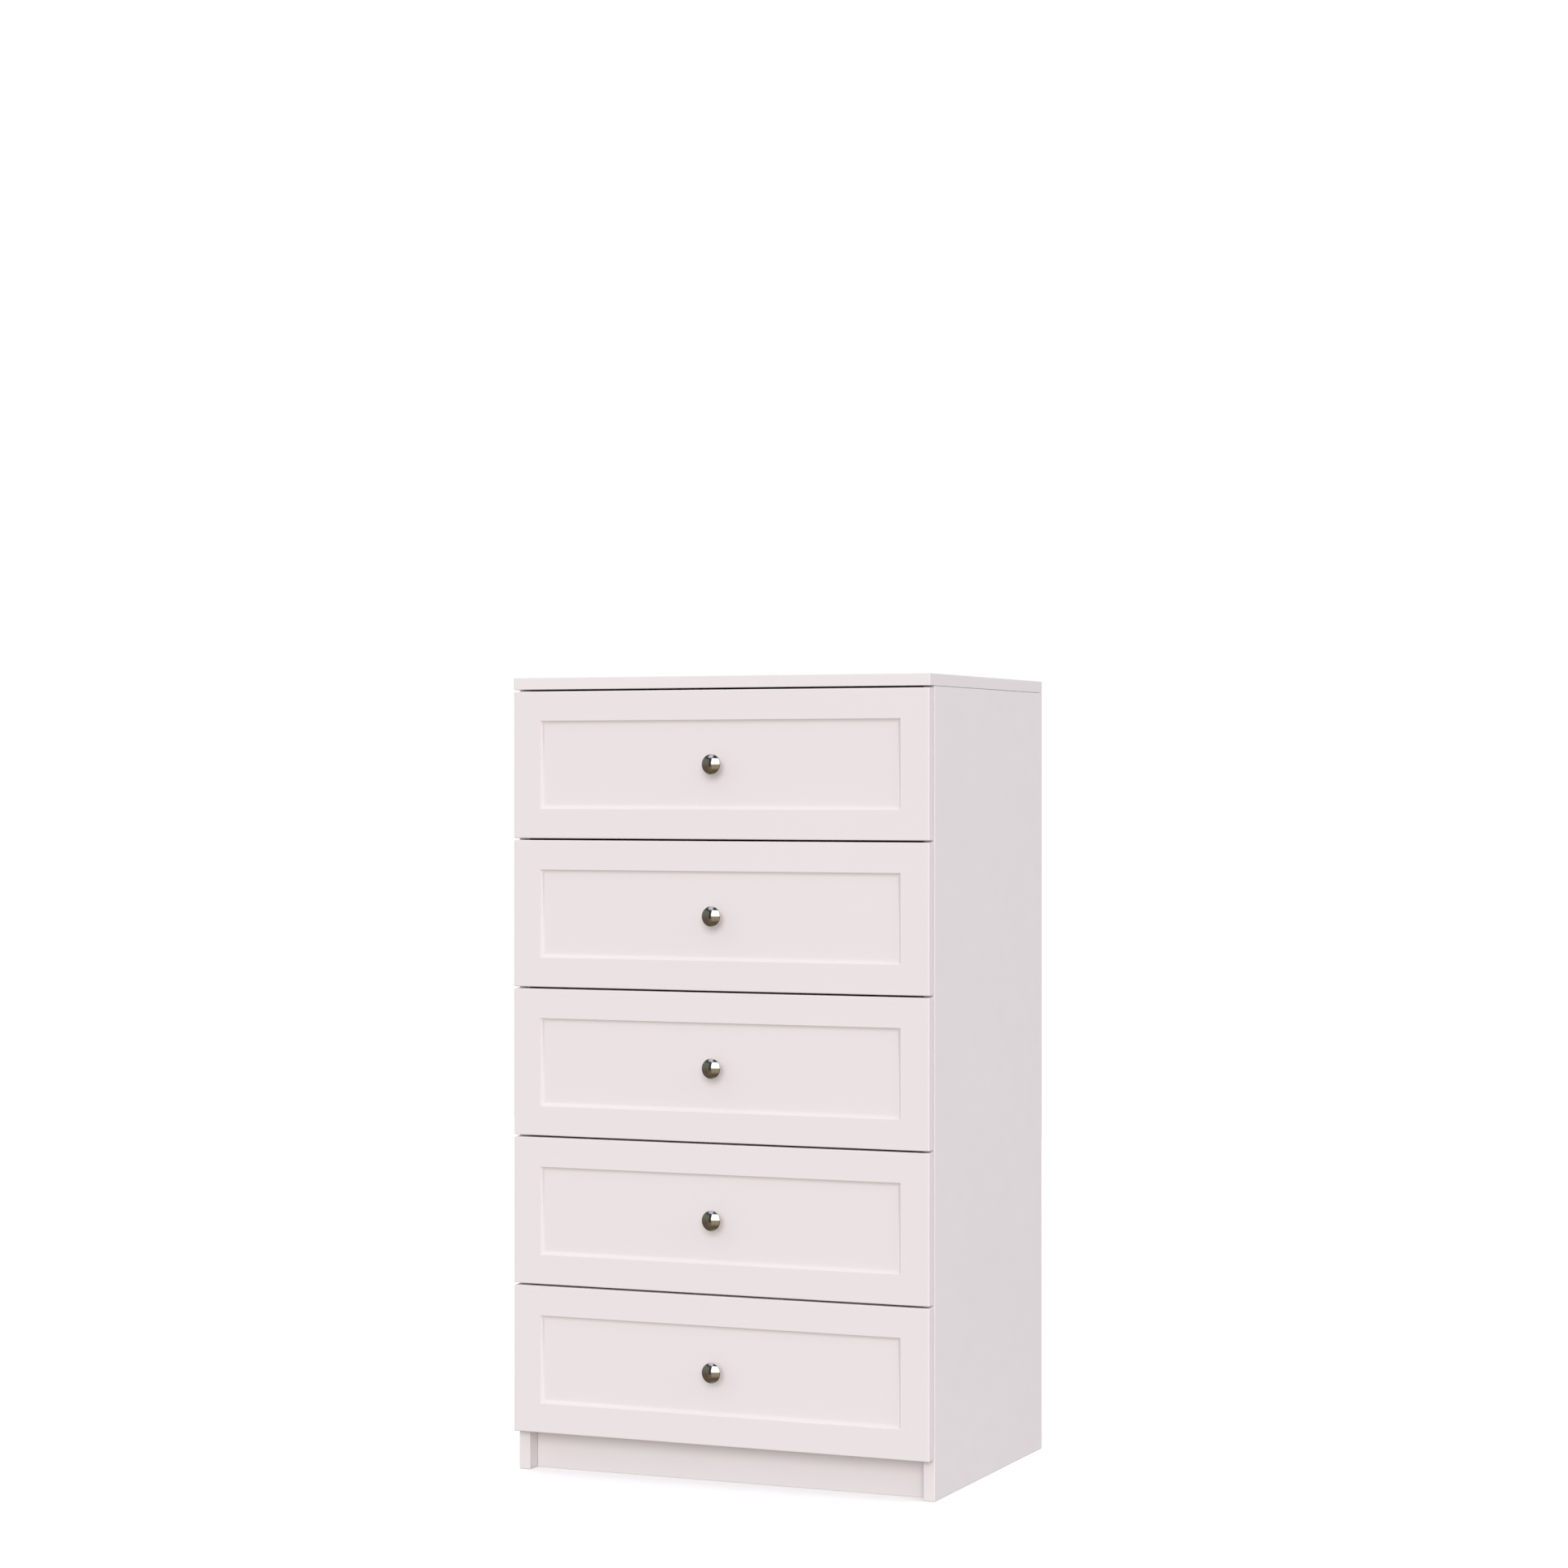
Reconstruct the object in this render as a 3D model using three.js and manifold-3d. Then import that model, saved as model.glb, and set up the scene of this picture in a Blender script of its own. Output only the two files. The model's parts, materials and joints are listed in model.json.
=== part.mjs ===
// A tall chest of five equal drawers: a white board carcass that stands on its side panels,
// framed fronts with round knobs, and drawer boxes that run on roller runners.
// Millimetres, +Z up. The fronts face -Y, z = 0 is the floor and x = 0 is the middle of the chest.
import * as THREE from "three";
import { mergeVertices } from "three/addons/utils/BufferGeometryUtils.js";
import Module from "manifold-3d";

const wasm = await Module();
wasm.setup();

// Chest
const width = 600;
const bodyDepth = 440; // faces of the fronts to the rear edges of the side panels
const board = 16; // carcass panels, plinth and fronts
const sheet = 3; // back panel and drawer bottoms
const gap = 0.3; // clearance between pieces that touch
const plinthHeight = 54; // floor to the lowest front
const plinthSetBack = 40.4; // behind the faces of the fronts
const topSetBack = 1;
const sideSetBack = 18.4;
const grooveDepth = 6;
const frontGrooveDepth = 5;
const backInset = 10; // rear edges to the groove for the back panel

// Drawers
const drawerCount = 5;
const frontHeight = 197.2;
const frontGap = 2.5;
const frontInset = 1; // each end, inside the width of the chest
const edgeRound = 1.5;
const frameWidth = 39.5; // flat frame round the sunk field of a front
const coveWidth = 6; // hollow slope from the frame down to the field
const coveSlope = (52 / 180) * Math.PI; // arc of the hollow, which runs out flat at the field
const fieldDepth = 3.8;
const boxBoard = 12;
const boxHeight = 150;
const boxLength = 400;
const boxRise = 28; // lower edge of the front to the lower edge of the box
const bottomRise = 10; // lower edge of the box to the groove for its bottom

// Runners
const runnerSpace = 12.5; // side panel to drawer box
const steel = 1.2;
const channelDrop = 8; // channel's lowest edge, below the box
const channelHeight = 22.6;
const channelLip = 6.5; // how far each lip stands out from the side panel
const trackLip = 9.9;
const trackEdge = 3.2; // upturned edge that keeps the roller on its track
const channelSetBack = 2; // behind the front edge of the side panel
const channelLength = 400;
const railLength = 398;
const railStart = 1.5; // behind the front
const railShelf = 20; // top of the rail's shelf, above the channel's lowest edge
const railFoot = 6.5; // underside of the rail's foot, above the channel's lowest edge
const railShelfIn = 3; // shelf's free edge to the side panel
const rollerRadius = 8.5;
const rollerHeight = 10; // axle above the channel's lowest edge
const rollerEnd = 12; // axle from the end of its runner
const rollerFrom = 2.5; // roller's faces, from the side panel
const rollerTo = 8.3;
const axleRadius = 3;

// Knob, measured from the sunk field
const knobProjection = 22.5; // beyond the frame of the front
const headRadius = 13.5;
const headDepth = 5; // widest ring to the tip
const rimRound = 1.05; // rolled rim between the widest ring and the cap
const capSlope = (35 / 180) * Math.PI; // of the cap where it meets the rim
const neckRadius = 4.6;
const footRadius = 5;

// Derived places
const depth = bodyDepth + knobProjection;
const faceY = knobProjection - depth / 2;
const rearY = depth / 2;
const pitch = frontHeight + frontGap;
const height = plinthHeight + drawerCount * pitch + board;
const wallX = width / 2 - board; // inner faces of the side panels
const sideFrontY = faceY + sideSetBack;
const topUnderside = height - board;
const grooveWidth = sheet + 2 * gap;
const backGrooveY = rearY - backInset - grooveWidth;
const boxX = wallX - runnerSpace; // outer faces of the drawer box
const boxFrontY = faceY + board + gap;
const boxRearY = boxFrontY + boxLength;
const grooveZ = boxRise + bottomRise;

const finish = (color, roughness, metalness = 0) =>
  new THREE.MeshStandardMaterial({ color, roughness, metalness });
const laminate = finish(0xe8e2e2, 0.45);
const lacquer = finish(0xeae4e3, 0.38);
const boxLaminate = finish(0xe9e6e2, 0.5);
const hardboard = finish(0xa98862, 0.8);
const printedSheet = finish(0xe4e0da, 0.6);
const coatedSteel = finish(0xe9e8e4, 0.4, 0.1);
const polishedNickel = finish(0xc9c6c0, 0.08, 1);

function mesh(name, geometry, material) {
  const piece = new THREE.Mesh(geometry, material);
  piece.name = name;
  return piece;
}

function cuboid(x0, x1, y0, y1, z0, z1) {
  const box = new THREE.BoxGeometry(x1 - x0, y1 - y0, z1 - z0);
  return box.translate((x0 + x1) / 2, (y0 + y1) / 2, (z0 + z1) / 2);
}

function extrude(outline, length) {
  const shape = new THREE.Shape(outline.map(([a, b]) => new THREE.Vector2(a, b)));
  return new THREE.ExtrudeGeometry(shape, { depth: length, bevelEnabled: false });
}

// Outline in x and z, run from y0 to y1.
function alongY(outline, y0, y1) {
  return extrude(outline, y1 - y0)
    .rotateX(Math.PI / 2)
    .translate(0, y1, 0);
}

// Outline in x and y, run from z0 to z1.
function alongZ(outline, z0, z1) {
  return extrude(outline, z1 - z0).translate(0, 0, z0);
}

function toSolid(geometry) {
  const bare = geometry.clone();
  bare.deleteAttribute("normal");
  bare.deleteAttribute("uv");
  const merged = mergeVertices(bare, 1e-4);
  const triVerts = new Uint32Array(merged.index.array);
  const vertProperties = merged.attributes.position.array;
  return new wasm.Manifold(new wasm.Mesh({ numProp: 3, vertProperties, triVerts }));
}

function toGeometry(solid) {
  const { vertProperties, triVerts } = solid.getMesh();
  const geometry = new THREE.BufferGeometry();
  geometry.setAttribute("position", new THREE.BufferAttribute(vertProperties, 3));
  geometry.setIndex(new THREE.BufferAttribute(triVerts, 1));
  geometry.computeVertexNormals();
  return geometry;
}

const join = (...parts) => toGeometry(parts.map(toSolid).reduce((a, b) => a.add(b)));
const cut = (body, tool) => toGeometry(toSolid(body).subtract(toSolid(tool)));

// A closed solid through rectangular rings [y, half width, half height], rear ring first.
function throughRings(rings, middleZ) {
  const corners = [
    [-1, -1],
    [1, -1],
    [1, 1],
    [-1, 1],
  ];
  const points = rings.flatMap(([y, w, h]) =>
    corners.flatMap(([a, b]) => [a * w, y, middleZ + b * h]),
  );
  const last = 4 * (rings.length - 1);
  const faces = [0, 2, 1, 0, 3, 2, last, last + 1, last + 2, last, last + 2, last + 3];
  for (let ring = 0; ring < last; ring += 4) {
    for (let i = 0; i < 4; i += 1) {
      const j = (i + 1) % 4;
      faces.push(ring + i, ring + j, ring + 4 + j, ring + i, ring + 4 + j, ring + 4 + i);
    }
  }
  const geometry = new THREE.BufferGeometry();
  geometry.setAttribute("position", new THREE.Float32BufferAttribute(points, 3));
  geometry.setIndex(faces);
  geometry.computeVertexNormals();
  return geometry;
}

// --- Carcass ---

// Outer faces flush with the top; a groove near the rear edge holds the back panel.
function sidePanel(side) {
  const outline = [
    [width / 2, sideFrontY],
    [width / 2, rearY],
    [wallX, rearY],
    [wallX, backGrooveY + grooveWidth],
    [wallX + grooveDepth, backGrooveY + grooveWidth],
    [wallX + grooveDepth, backGrooveY],
    [wallX, backGrooveY],
    [wallX, sideFrontY],
  ].map(([x, y]) => [side * x, y]);
  return alongZ(outline, 0, topUnderside - gap);
}

function topPanel() {
  const slab = cuboid(-width / 2, width / 2, faceY + topSetBack, rearY, topUnderside, height);
  const reach = wallX + grooveDepth;
  const groove = cuboid(
    -reach,
    reach,
    backGrooveY,
    backGrooveY + grooveWidth,
    topUnderside - board,
    topUnderside + grooveDepth,
  );
  return cut(slab, groove);
}

function backPanel() {
  const reach = wallX + grooveDepth - gap;
  const y0 = backGrooveY + gap;
  return cuboid(-reach, reach, y0, y0 + sheet, plinthHeight, topUnderside + grooveDepth - gap);
}

function addCarcass(chest) {
  const inner = wallX - gap;
  const bottom = cuboid(-inner, inner, sideFrontY, backGrooveY, plinthHeight, plinthHeight + board);
  const plinthY = faceY + plinthSetBack;
  const plinth = cuboid(-inner, inner, plinthY, plinthY + board, 0, plinthHeight - gap);
  chest.add(
    mesh("left_side_panel", sidePanel(-1), laminate),
    mesh("right_side_panel", sidePanel(1), laminate),
    mesh("top_panel", topPanel(), laminate),
    mesh("bottom_panel", bottom, laminate),
    mesh("plinth", plinth, laminate),
    mesh("back_panel", backPanel(), hardboard),
  );
}

// --- Runners ---

// Sections are [distance in from the side panel, height above the channel's lowest edge].
function section(points, side, lowest) {
  return points.map(([fromWall, up]) => [side * (wallX - fromWall), lowest + up]);
}

function roller(side, y, z, axleFrom, axleTo) {
  const alongX = (radius, from, to, sides) =>
    new THREE.CylinderGeometry(radius, radius, to - from, sides)
      .rotateZ(Math.PI / 2)
      .translate(side * (wallX - (from + to) / 2), y, z);
  return [alongX(rollerRadius, rollerFrom, rollerTo, 28), alongX(axleRadius, axleFrom, axleTo, 12)];
}

// Fixed member: a channel on the side panel, open towards the drawer, with a roller at its front end.
function carcassRunner(side, lowest) {
  const outline = [
    [gap, 0],
    [trackLip, 0],
    [trackLip, trackEdge],
    [trackLip - steel, trackEdge],
    [trackLip - steel, steel],
    [gap + steel, steel],
    [gap + steel, channelHeight - steel],
    [channelLip, channelHeight - steel],
    [channelLip, channelHeight],
    [gap, channelHeight],
  ];
  const y0 = sideFrontY + channelSetBack;
  const channel = alongY(section(outline, side, lowest), y0, y0 + channelLength);
  const z = lowest + rollerHeight;
  return join(channel, ...roller(side, y0 + rollerEnd, z, gap + steel / 2, rollerFrom + steel));
}

// Moving member: its foot is under the drawer side, its shelf rides on the front roller, and its
// own roller runs in the channel at the rear.
function drawerRunner(side, lowest) {
  const webIn = runnerSpace - gap;
  const webOut = webIn - steel;
  const footEnd = runnerSpace + boxBoard;
  const outline = [
    [webOut, railFoot],
    [footEnd, railFoot],
    [footEnd, railFoot + steel],
    [webIn, railFoot + steel],
    [webIn, railShelf],
    [railShelfIn, railShelf],
    [railShelfIn, railShelf - steel],
    [webOut, railShelf - steel],
  ];
  const y0 = faceY + board + railStart;
  const y1 = y0 + railLength;
  const rail = alongY(section(outline, side, lowest), y0, y1);
  const z = lowest + rollerHeight;
  return join(rail, ...roller(side, y1 - rollerEnd, z, rollerTo - steel, webIn - steel / 2));
}

// --- Drawers ---

// Framed front with a sunk field; the groove in its rear face takes the drawer bottom.
function drawerFront() {
  const halfWidth = width / 2 - frontInset;
  const half = frontHeight / 2;
  const ring = (y, inset) => [y, halfWidth - inset, half - inset];
  const coveRings = [2 / 3, 1 / 3, 0].map((part) => {
    const slope = coveSlope * part;
    const along = 1 - Math.sin(slope) / Math.sin(coveSlope);
    const down = (Math.cos(slope) - Math.cos(coveSlope)) / (1 - Math.cos(coveSlope));
    return ring(faceY + fieldDepth * down, frameWidth + coveWidth * along);
  });
  const body = throughRings(
    [
      ring(faceY + board, 0),
      ring(faceY + edgeRound, 0),
      ring(faceY, edgeRound),
      ring(faceY, frameWidth),
      ...coveRings,
    ],
    half,
  );
  const reach = boxX - boxBoard + grooveDepth;
  const rear = faceY + board;
  const z1 = grooveZ + grooveWidth;
  return cut(body, cuboid(-reach, reach, rear - frontGrooveDepth, rear + board, grooveZ, z1));
}

function knob() {
  const widest = knobProjection + fieldDepth - headDepth;
  const profile = [
    [0, gap],
    [footRadius, gap],
    [footRadius, 1.6],
    [neckRadius, 4.5],
    [neckRadius + 0.5, 9],
    [headRadius * 0.56, 12.8],
    [headRadius * 0.86, 15.6],
    [headRadius * 0.97, 18.2],
  ];
  const rimSteps = 3;
  for (let i = 0; i <= rimSteps; i += 1) {
    const angle = (i / rimSteps) * (Math.PI / 2 - capSlope);
    profile.push([
      headRadius - rimRound * (1 - Math.cos(angle)),
      widest + rimRound * Math.sin(angle),
    ]);
  }
  const [capEdge, capStart] = profile.at(-1);
  const capSteps = 5;
  const rise = (headDepth - (capStart - widest)) / (1 - Math.cos(capSlope));
  for (let i = 1; i <= capSteps; i += 1) {
    const angle = (1 - i / capSteps) * capSlope;
    const radius = i < capSteps ? (capEdge * Math.sin(angle)) / Math.sin(capSlope) : 0;
    profile.push([radius, capStart + rise * (Math.cos(angle) - Math.cos(capSlope))]);
  }
  const points = profile.map(([r, out]) => new THREE.Vector2(r, out));
  return new THREE.LatheGeometry(points, 28)
    .rotateX(Math.PI)
    .translate(0, faceY + fieldDepth, frontHeight / 2);
}

// Board of the drawer box with a groove on its inner face for the bottom.
function boxSide(side) {
  const inner = boxX - boxBoard;
  const outline = [
    [boxX, boxRise],
    [boxX, boxRise + boxHeight],
    [inner, boxRise + boxHeight],
    [inner, grooveZ + grooveWidth],
    [inner + grooveDepth, grooveZ + grooveWidth],
    [inner + grooveDepth, grooveZ],
    [inner, grooveZ],
    [inner, boxRise],
  ].map(([x, z]) => [side * x, z]);
  return alongY(outline, boxFrontY, boxRearY);
}

// The back stands on the bottom, between the sides.
function boxBack() {
  const inner = boxX - boxBoard - gap;
  const z0 = grooveZ + grooveWidth;
  return cuboid(-inner, inner, boxRearY - boxBoard, boxRearY, z0, boxRise + boxHeight);
}

function boxBottom() {
  const reach = boxX - boxBoard + grooveDepth - gap;
  const front = faceY + board - frontGrooveDepth + gap;
  const z0 = grooveZ + gap;
  return cuboid(-reach, reach, front, boxRearY, z0, z0 + sheet);
}

// Drawer 1 is the top one. Sizes run up from the lower edge of its front.
function addDrawer(chest, number) {
  const drawer = new THREE.Group();
  drawer.position.z = plinthHeight + (drawerCount - number) * pitch;
  const name = `drawer_${number}`;
  const lowest = boxRise - channelDrop;
  drawer.add(
    mesh(`${name}_front`, drawerFront(), lacquer),
    mesh(`${name}_knob`, knob(), polishedNickel),
    mesh(`${name}_back`, boxBack(), boxLaminate),
    mesh(`${name}_bottom`, boxBottom(), printedSheet),
  );
  for (const [hand, side] of [
    ["left", -1],
    ["right", 1],
  ]) {
    drawer.add(
      mesh(`${name}_${hand}_side`, boxSide(side), boxLaminate),
      mesh(`${name}_${hand}_runner`, drawerRunner(side, lowest), coatedSteel),
      mesh(`carcass_runner_${number}_${hand}`, carcassRunner(side, lowest), coatedSteel),
    );
  }
  chest.add(drawer);
}

const chest = new THREE.Group();
addCarcass(chest);
for (let number = 1; number <= drawerCount; number += 1) {
  addDrawer(chest, number);
}

export default chest;
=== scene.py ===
# A tall white chest of five drawers: framed fronts with round nickel knobs on a board carcass,
# drawer boxes on roller runners, and the fixings that hold it together.
import json
import math

import bmesh
import bpy
from mathutils import Matrix, Vector

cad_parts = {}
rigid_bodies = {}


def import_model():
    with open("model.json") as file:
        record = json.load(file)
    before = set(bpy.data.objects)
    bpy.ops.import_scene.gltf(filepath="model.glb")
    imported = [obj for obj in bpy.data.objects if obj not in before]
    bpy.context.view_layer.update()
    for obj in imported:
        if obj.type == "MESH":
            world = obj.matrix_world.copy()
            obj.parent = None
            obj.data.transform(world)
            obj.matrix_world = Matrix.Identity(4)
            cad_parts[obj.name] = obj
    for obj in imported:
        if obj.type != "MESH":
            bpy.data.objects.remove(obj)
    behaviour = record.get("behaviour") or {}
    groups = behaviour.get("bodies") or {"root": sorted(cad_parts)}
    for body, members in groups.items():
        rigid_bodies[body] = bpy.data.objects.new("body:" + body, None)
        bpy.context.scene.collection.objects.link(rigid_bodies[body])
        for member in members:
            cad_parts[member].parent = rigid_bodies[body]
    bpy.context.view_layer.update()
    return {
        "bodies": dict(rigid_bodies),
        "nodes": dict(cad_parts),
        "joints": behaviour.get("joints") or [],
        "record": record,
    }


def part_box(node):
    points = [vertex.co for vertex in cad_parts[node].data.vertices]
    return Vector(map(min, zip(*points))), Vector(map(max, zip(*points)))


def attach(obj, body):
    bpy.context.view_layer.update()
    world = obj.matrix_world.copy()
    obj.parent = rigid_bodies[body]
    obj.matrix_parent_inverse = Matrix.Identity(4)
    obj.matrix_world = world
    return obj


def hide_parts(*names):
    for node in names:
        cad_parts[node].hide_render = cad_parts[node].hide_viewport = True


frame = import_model()
scene = bpy.context.scene
mm = 0.001
drawerCount = 5
hands = (("left", -1), ("right", 1))


# small tools

def nodeIn(tree, kind, **settings):
    node = tree.nodes.new(kind)
    for key, value in settings.items():
        setattr(node, key, value)
    return node


def setInputs(node, **values):
    for key, value in values.items():
        node.inputs[key.replace("_", " ")].default_value = value
    return node


def linkUp(tree, *pairs):
    for fromSocket, toSocket in pairs:
        tree.links.new(fromSocket, toSocket)


def closeMesh(bm):
    bmesh.ops.remove_doubles(bm, verts=bm.verts, dist=1e-6)
    loose = [v for v in bm.verts if not v.link_faces]
    bmesh.ops.delete(bm, geom=loose, context="VERTS")
    bmesh.ops.recalc_face_normals(bm, faces=bm.faces)


def toMesh(bm, name):
    mesh = bpy.data.meshes.new(name)
    bm.to_mesh(mesh)
    bm.free()
    return mesh


def prismMesh(outline, axis, start, end):
    # outline is in the two axes other than axis, in x, y, z order
    bm = bmesh.new()

    def place(a, b, c):
        return {"x": (c, a, b), "y": (a, c, b), "z": (a, b, c)}[axis]

    rows = [[bm.verts.new(place(a, b, c)) for a, b in outline] for c in (start, end)]
    count = len(outline)
    for i in range(count):
        j = (i + 1) % count
        bm.faces.new((rows[0][i], rows[0][j], rows[1][j], rows[1][i]))
    bm.faces.new(rows[0])
    bm.faces.new(rows[1])
    closeMesh(bm)
    return toMesh(bm, "prism")


def boxMesh(lo, hi):
    outline = [(lo[0], lo[1]), (hi[0], lo[1]), (hi[0], hi[1]), (lo[0], hi[1])]
    return prismMesh(outline, "z", lo[2], hi[2])


def latheMesh(profile, sides):
    # profile is [radius, height] round +Z, from axis to axis, or a closed ring off the axis
    bm = bmesh.new()
    rings = []
    for radius, z in profile:
        turns = [i * math.tau / sides for i in range(sides if radius > 1e-9 else 1)]
        rings.append([bm.verts.new((radius * math.cos(t), radius * math.sin(t), z)) for t in turns])
    if profile[0][0] > 1e-9:
        rings.append(rings[0])
    for low, high in zip(rings, rings[1:]):
        for i in range(sides):
            j = (i + 1) % sides
            corners = [low[i % len(low)], low[j % len(low)], high[j % len(high)], high[i % len(high)]]
            distinct = list(dict.fromkeys(corners))
            if len(distinct) > 2:
                bm.faces.new(distinct)
    closeMesh(bm)
    return toMesh(bm, "lathe")


def carve(mesh, cutters):
    # takes the cutters' shapes out of the mesh
    body = bpy.data.objects.new("carved", mesh)
    scene.collection.objects.link(body)
    tools = bmesh.new()
    for cutter in cutters:
        tools.from_mesh(cutter)
    tool = bpy.data.objects.new("tool", toMesh(tools, "tool"))
    scene.collection.objects.link(tool)
    cut = body.modifiers.new("cut", "BOOLEAN")
    cut.operation = "DIFFERENCE"
    cut.solver = "EXACT"
    cut.use_self = False
    cut.object = tool
    bpy.context.view_layer.update()
    result = bpy.data.meshes.new_from_object(body.evaluated_get(bpy.context.evaluated_depsgraph_get()))
    bpy.data.objects.remove(body)
    bpy.data.objects.remove(tool)
    return result


def placed(mesh, matrix):
    copy = mesh.copy()
    copy.transform(matrix)
    return copy


def facingFront(y, z):
    # turns a shape made along +Z to point out of the fronts, at this y and height
    return Matrix.Translation((0, y, z)) @ Matrix.Rotation(math.pi / 2, 4, "X")


def paintFaces(mesh, materials, choose):
    # choose(normal, centre) gives the index of each face's material
    mesh.materials.clear()
    for material in materials:
        mesh.materials.append(material)
    for polygon in mesh.polygons:
        polygon.material_index = choose(polygon.normal, polygon.center)


def piece(name, mesh, body, nodes=(), roundEdges=0.0, steps=2, edgeFinish=-1):
    obj = bpy.data.objects.new(name, mesh)
    mesh.name = name
    scene.collection.objects.link(obj)
    for polygon in mesh.polygons:
        polygon.use_smooth = True
    if roundEdges:
        edges = obj.modifiers.new("softEdges", "BEVEL")
        edges.width = roundEdges
        edges.segments = steps
        edges.limit_method = "ANGLE"
        edges.angle_limit = math.radians(40)
        edges.miter_outer = "MITER_ARC"
        edges.material = edgeFinish
    shading = obj.modifiers.new("flatFaces", "WEIGHTED_NORMAL")
    shading.keep_sharp = True
    shading.weight = 100
    if nodes:
        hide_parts(*nodes)
    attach(obj, body)
    return obj


# camera

cameraPlace = {"right": 1.98987, "before": 4.44916, "height": 0.92568, "turn": 23.0525,
               "lens": 85.0, "sensorWidth": 36}

cameraData = bpy.data.cameras.new("camera")
cameraData.sensor_width = cameraPlace["sensorWidth"]
cameraData.lens = cameraPlace["lens"]
camera = bpy.data.objects.new("camera", cameraData)
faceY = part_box("drawer_1_front")[0].y
camera.location = (cameraPlace["right"], faceY - cameraPlace["before"], cameraPlace["height"])
camera.rotation_euler = (math.radians(90), 0, math.radians(cameraPlace["turn"]))
scene.collection.objects.link(camera)
scene.camera = camera
print("camera placed")


# finishes

def startMaterial(name, colour, roughness, **surface):
    material = bpy.data.materials.new(name)
    material.use_nodes = True
    shader = material.node_tree.nodes["Principled BSDF"]
    shader.inputs["Base Color"].default_value = (*colour, 1)
    shader.inputs["Roughness"].default_value = roughness
    for key, value in surface.items():
        shader.inputs[key.replace("_", " ")].default_value = value
    place = nodeIn(material.node_tree, "ShaderNodeTexCoord")
    return material, material.node_tree, shader, place.outputs["Object"]


def noiseAt(tree, where, scale, detail=2.0, roughness=0.5, stretch=None):
    if stretch:
        mapping = nodeIn(tree, "ShaderNodeMapping")
        mapping.inputs["Scale"].default_value = stretch
        linkUp(tree, (where, mapping.inputs["Vector"]))
        where = mapping.outputs["Vector"]
    noise = nodeIn(tree, "ShaderNodeTexNoise")
    setInputs(noise, Scale=scale, Detail=detail, Roughness=roughness)
    linkUp(tree, (where, noise.inputs["Vector"]))
    return noise.outputs["Fac"]


def rangeOf(tree, value, low, high, fromLow=0.3, fromHigh=0.7):
    spread = nodeIn(tree, "ShaderNodeMapRange")
    setInputs(spread, From_Min=fromLow, From_Max=fromHigh, To_Min=low, To_Max=high)
    linkUp(tree, (value, spread.inputs["Value"]))
    return spread.outputs["Result"]


def mixColours(tree, amount, first, second):
    mix = nodeIn(tree, "ShaderNodeMix", data_type="RGBA")
    for socket, value in ((mix.inputs[6], first), (mix.inputs[7], second)):
        if isinstance(value, tuple):
            socket.default_value = (*value, 1)
        else:
            linkUp(tree, (value, socket))
    linkUp(tree, (amount, mix.inputs[0]))
    return mix.outputs[2]


def shaded(colour, amount):
    return tuple(c * amount for c in colour)


def colourFrom(tree, shader, amount, first, second):
    linkUp(tree, (mixColours(tree, amount, first, second), shader.inputs["Base Color"]))


def bumpFrom(tree, shader, layers):
    # layers are (height, strength, distance in metres), widest first
    normal = None
    for height, strength, distance in layers:
        bump = nodeIn(tree, "ShaderNodeBump")
        setInputs(bump, Strength=strength, Distance=distance)
        linkUp(tree, (height, bump.inputs["Height"]))
        if normal:
            linkUp(tree, (normal, bump.inputs["Normal"]))
        normal = bump.outputs["Normal"]
    linkUp(tree, (normal, shader.inputs["Normal"]))


def laminateFinish(name, colour, roughness, pearl):
    # melamine paper on board: an even white with a fine pearled press texture
    material, tree, shader, where = startMaterial(name, colour, roughness, Specular_IOR_Level=0.5)
    clouds = rangeOf(tree, noiseAt(tree, where, 5.0, 3), 0, 1)
    colourFrom(tree, shader, clouds, shaded(colour, 0.985), colour)
    satin = rangeOf(tree, noiseAt(tree, where, 40.0, 3), roughness - 0.04, roughness + 0.05)
    linkUp(tree, (satin, shader.inputs["Roughness"]))
    bumpFrom(tree, shader, [
        (noiseAt(tree, where, 260.0, 2), 0.05, 0.0001),
        (noiseAt(tree, where, 1400.0, 3), pearl, 0.00005),
    ])
    return material


def foilFinish(name, colour, roughness):
    # white foil pressed over routed fibreboard, with a faint orange peel
    material, tree, shader, where = startMaterial(name, colour, roughness, Specular_IOR_Level=0.5)
    clouds = rangeOf(tree, noiseAt(tree, where, 4.0, 2), 0, 1)
    colourFrom(tree, shader, clouds, shaded(colour, 0.99), colour)
    satin = rangeOf(tree, noiseAt(tree, where, 55.0, 4), roughness - 0.03, roughness + 0.04)
    linkUp(tree, (satin, shader.inputs["Roughness"]))
    bumpFrom(tree, shader, [
        (noiseAt(tree, where, 220.0, 1), 0.05, 0.0001),
        (noiseAt(tree, where, 900.0, 2), 0.04, 0.00005),
    ])
    return material


def chipboardFinish(name, light, dark):
    # sawn edge of chipboard: pale and dark flakes laid along the board
    material, tree, shader, where = startMaterial(name, light, 0.85)
    flakes = nodeIn(tree, "ShaderNodeTexVoronoi")
    setInputs(flakes, Scale=420.0, Randomness=1.0)
    linkUp(tree, (where, flakes.inputs["Vector"]))
    tint = rangeOf(tree, flakes.outputs["Distance"], 0, 1, 0.05, 0.75)
    colour = mixColours(tree, tint, light, dark)
    # pits between the flakes are painted much darker: painted shade in the small voids, with a bump on
    # the same mask
    pitShade = rangeOf(tree, noiseAt(tree, where, 900.0, 3), 0, 1, 0.35, 0.5)
    colourFrom(tree, shader, pitShade, shaded(dark, 0.4), colour)
    bumpFrom(tree, shader, [(flakes.outputs["Distance"], 0.4, 0.0003), (pitShade, 0.5, 0.0003)])
    return material


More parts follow.
